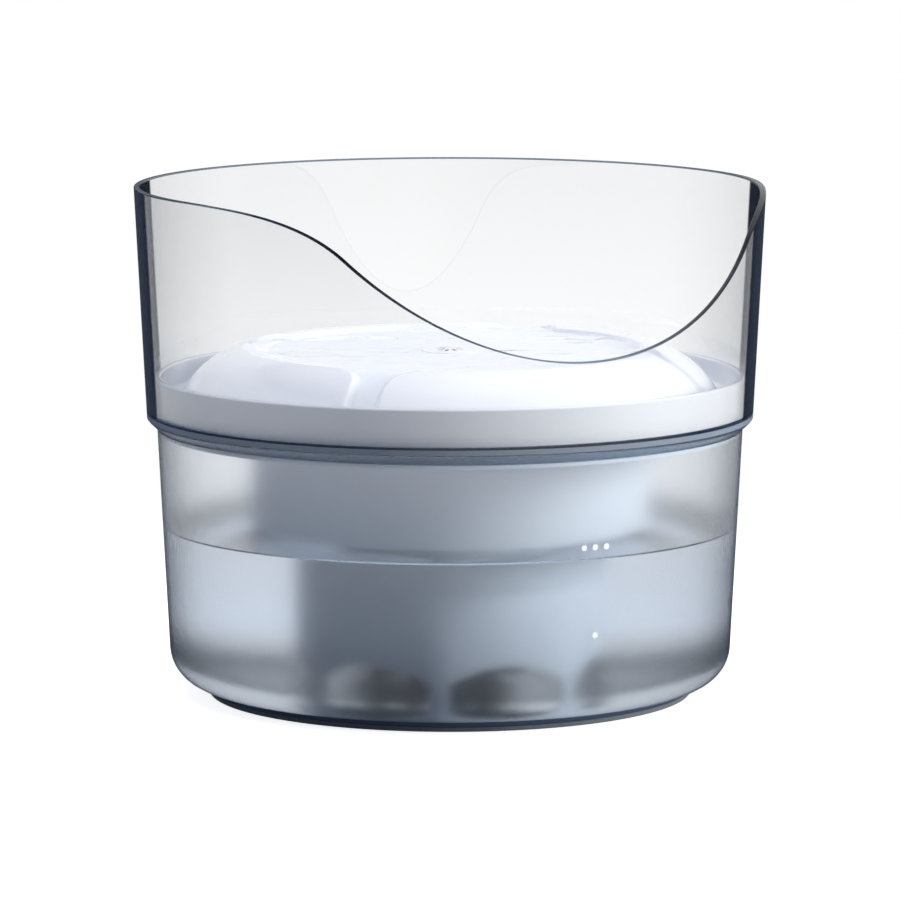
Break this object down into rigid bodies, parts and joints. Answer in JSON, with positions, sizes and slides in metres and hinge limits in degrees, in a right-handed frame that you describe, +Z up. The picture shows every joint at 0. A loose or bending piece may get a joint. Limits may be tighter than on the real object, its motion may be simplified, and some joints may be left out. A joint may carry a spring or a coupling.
{
  "type": "pet water fountain",
  "caption": "Round recirculating water fountain for pets: frosted tank, wave-cut splash guard, domed dish with a pool and spill channels, filter and submerged pump.",
  "frame": {"origin": "on the table under the fountain's axis, at the bottom of the anti-slip ring", "axes": "+Z up along the fountain's axis; the low point of the splash guard faces -Y and the cord leaves towards +Y; +X to the right seen from the low side"},
  "size_m": [0.3346, 0.3307, 0.2707],
  "materials": {
    "frosted_tank": "satin translucent",
    "smoke_guard": "polished clear",
    "white_gloss": "gloss",
    "white_matte": "matte",
    "navy_plastic": "satin",
    "grey_rubber": "matte",
    "black_rubber": "matte",
    "black_plastic": "matte",
    "potting_resin": "satin",
    "core_steel": "laminated",
    "winding": "enamelled wire",
    "magnet": "matte ferrite",
    "shaft_steel": "polished",
    "clear_silicone": "satin",
    "black_foam": "open cell",
    "carbon": "granular",
    "fleece": "fleece"
  },
  "bodies": {
    "tank": {"reservoir_tank": "frosted_tank", "base_ring": "navy_plastic", "anti_slip_ring": "grey_rubber"},
    "pump": {"volute_cover": "black_plastic", "chamber_seal": "black_rubber", "motor_housing": "black_plastic", "rear_bush": "black_rubber", "front_bush": "black_rubber", "rotor_shaft": "shaft_steel", "stator_core": "core_steel", "coil_bobbin": "black_plastic", "coil_winding": "winding", "motor_potting": "potting_resin", "cord_gland": "black_rubber", "intake_grille": "black_plastic", "prefilter_foam": "black_foam", "suction_cup_1": "black_rubber", "suction_cup_2": "black_rubber", "suction_cup_3": "black_rubber", "suction_cup_4": "black_rubber", "riser_tube": "white_matte"},
    "rotor": {"impeller": "white_gloss", "rotor_magnet": "magnet"},
    "slider": {"flow_slider": "black_plastic"},
    "column": {"pump_column": "white_matte", "column_cap": "white_matte"},
    "basket": {"filter_basket": "white_matte"},
    "cartridge": {"cartridge_frame": "white_matte", "carbon_media": "carbon", "fleece_pad": "fleece", "cartridge_lid": "white_matte"},
    "guard": {"splash_guard": "smoke_guard"},
    "dish": {"drinking_dish": "white_gloss", "outlet_grille": "white_gloss", "outlet_seal": "clear_silicone"}
  },
  "joints": [
    {"name": "pump_lift", "type": "slide", "parent": "tank", "child": "pump", "axis": [0, 0, 1], "range_m": [0, 0.15]},
    {"name": "column_lift", "type": "slide", "parent": "pump", "child": "column", "axis": [0, 0, 1], "range_m": [0, 0.18]},
    {"name": "basket_lift", "type": "slide", "parent": "column", "child": "basket", "axis": [0, 0, 1], "range_m": [0, 0.1]},
    {"name": "cartridge_lift", "type": "slide", "parent": "basket", "child": "cartridge", "axis": [0, 0, 1], "range_m": [0, 0.09]},
    {"name": "guard_lift", "type": "slide", "parent": "cartridge", "child": "guard", "axis": [0, 0, 1], "range_m": [0, 0.06]},
    {"name": "dish_lift", "type": "slide", "parent": "guard", "child": "dish", "axis": [0, 0, 1], "range_m": [0, 0.14]},
    {"name": "impeller_spin", "type": "hinge", "parent": "pump", "child": "rotor", "pos_m": [0, 0, 0.0353], "axis": [0, 1, 0], "continuous": true},
    {"name": "flow_slide", "type": "slide", "parent": "pump", "child": "slider", "axis": [1, 0, 0], "range_m": [-0.007, 0.007]}
  ]
}
